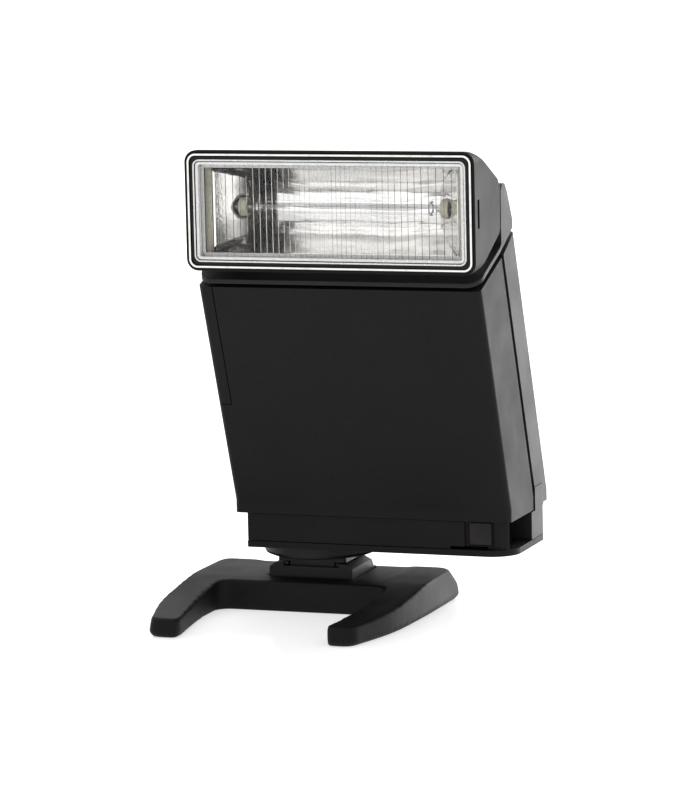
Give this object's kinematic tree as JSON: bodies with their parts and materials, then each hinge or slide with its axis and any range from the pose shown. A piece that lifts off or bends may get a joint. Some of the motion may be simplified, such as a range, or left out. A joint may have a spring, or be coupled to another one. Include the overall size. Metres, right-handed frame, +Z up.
{
  "type": "speedlight flash",
  "caption": "Shoe-mount speedlight flash with a tilting bounce head, leaning body and offset foot, standing on a small U-shaped table stand.",
  "frame": {"origin": "on the resting surface, under the middle of the assembly's bounding box", "axes": "+Z up, the flash faces -Y, +X to the viewer's right when facing the lens"},
  "size_m": [0.097, 0.0736, 0.1291],
  "materials": {
    "satin_black_plastic": "fine satin texture, black",
    "deep_black_plastic": "smooth semi-matt black",
    "screw_steel": "bright zinc",
    "pin_steel": "ground steel",
    "contact_brass": "nickel-washed brass",
    "tinted_window": "smoke tinted, glossy",
    "sensor_glass": "clear epoxy dome",
    "cell_can": "printed foil jacket",
    "capacitor_sleeve": "shrink sleeve",
    "circuit_board": "lacquered laminate",
    "ferrite": "matt sintered",
    "copper_winding": "lacquered wire",
    "coil_former": "wax dipped",
    "printed_plate": "printed scale, satin",
    "amber_lamp": "translucent amber",
    "bright_trim": "bright foil",
    "clear_lens": "clear ribbed",
    "mirror_sheet": "bright anodised",
    "tube_glass": "clear",
    "grommet_rubber": "soft silicone"
  },
  "bodies": {
    "stand": {"stand_base": "satin_black_plastic", "stand_shoe": "deep_black_plastic", "shoe_screw_1": "screw_steel", "shoe_screw_2": "screw_steel"},
    "flash": {"hot_shoe_foot": "deep_black_plastic", "foot_screw_1": "screw_steel", "foot_screw_2": "screw_steel", "foot_screw_3": "screw_steel", "foot_screw_4": "screw_steel", "base_module": "satin_black_plastic", "base_plate": "satin_black_plastic", "sensor_window": "tinted_window", "sensor_cell": "sensor_glass", "front_shell": "satin_black_plastic", "back_shell": "satin_black_plastic", "battery_tray": "deep_black_plastic", "battery_cell_1": "cell_can", "battery_cell_2": "cell_can", "battery_cell_3": "cell_can", "battery_cell_4": "cell_can", "contact_spring_1": "contact_brass", "contact_tab_2": "contact_brass", "contact_tab_3": "contact_brass", "contact_spring_4": "contact_brass", "capacitor": "capacitor_sleeve", "main_board": "circuit_board", "control_board": "circuit_board", "transformer_core": "ferrite", "transformer_winding": "copper_winding", "trigger_coil": "coil_former", "case_screw_1": "screw_steel", "case_screw_2": "screw_steel", "case_screw_3": "screw_steel", "case_screw_4": "screw_steel", "scale_plate": "printed_plate", "dial_screw": "screw_steel", "control_panel": "deep_black_plastic", "yoke_cap": "satin_black_plastic", "pivot_pin_left": "pin_steel", "pivot_pin_right": "pin_steel"},
    "head": {"head_shell": "satin_black_plastic", "trim_ring": "bright_trim", "lens_frame": "deep_black_plastic", "fresnel_lens": "clear_lens", "reflector": "mirror_sheet", "end_mirror_left": "mirror_sheet", "end_mirror_right": "mirror_sheet", "xenon_tube": "tube_glass", "tube_grommet_left": "grommet_rubber", "tube_grommet_right": "grommet_rubber"},
    "ring": {"locking_ring": "satin_black_plastic"},
    "contact": {"contact_pin": "contact_brass"},
    "door": {"battery_door": "satin_black_plastic", "door_contact": "contact_brass"},
    "dial": {"calculator_dial": "deep_black_plastic"},
    "power": {"power_switch": "deep_black_plastic"},
    "mode": {"mode_selector": "deep_black_plastic"},
    "button": {"test_button": "deep_black_plastic", "ready_lamp": "amber_lamp"}
  },
  "joints": [
    {"name": "shoe_slide", "type": "slide", "parent": "stand", "child": "flash", "axis": [0, 1, 0], "range_m": [0, 0.03]},
    {"name": "head_tilt", "type": "hinge", "parent": "flash", "child": "head", "pos_m": [0.00845, -0.0004, 0.1159], "axis": [-1, 0, 0], "range_deg": [0, 90]},
    {"name": "ring_turn", "type": "hinge", "parent": "flash", "child": "ring", "pos_m": [-0.01305, 0.0206, 0.016], "axis": [0, 0, 1], "range_deg": [0, 180]},
    {"name": "contact_press", "type": "slide", "parent": "flash", "child": "contact", "axis": [0, 0, 1], "range_m": [0, 0.0005], "stiffness_N_per_m": 250, "springref_m": -0.001},
    {"name": "door_swing", "type": "hinge", "parent": "flash", "child": "door", "pos_m": [-0.03005, 0.01129, 0.08549], "axis": [0, 0.3453, -0.9385], "range_deg": [0, 100]},
    {"name": "dial_turn", "type": "hinge", "parent": "flash", "child": "dial", "pos_m": [-0.00455, 0.01988, 0.07693], "axis": [0, 0.9385, 0.3453], "range_deg": [-150, 150]},
    {"name": "power_slide", "type": "slide", "parent": "flash", "child": "power", "axis": [1, 0, 0], "range_m": [0, 0.0048]},
    {"name": "mode_slide", "type": "slide", "parent": "flash", "child": "mode", "axis": [1, 0, 0], "range_m": [0, 0.0048]},
    {"name": "test_press", "type": "slide", "parent": "flash", "child": "button", "axis": [0, -0.9385, -0.3453], "range_m": [0, 0.001], "stiffness_N_per_m": 350, "springref_m": -0.0008}
  ]
}
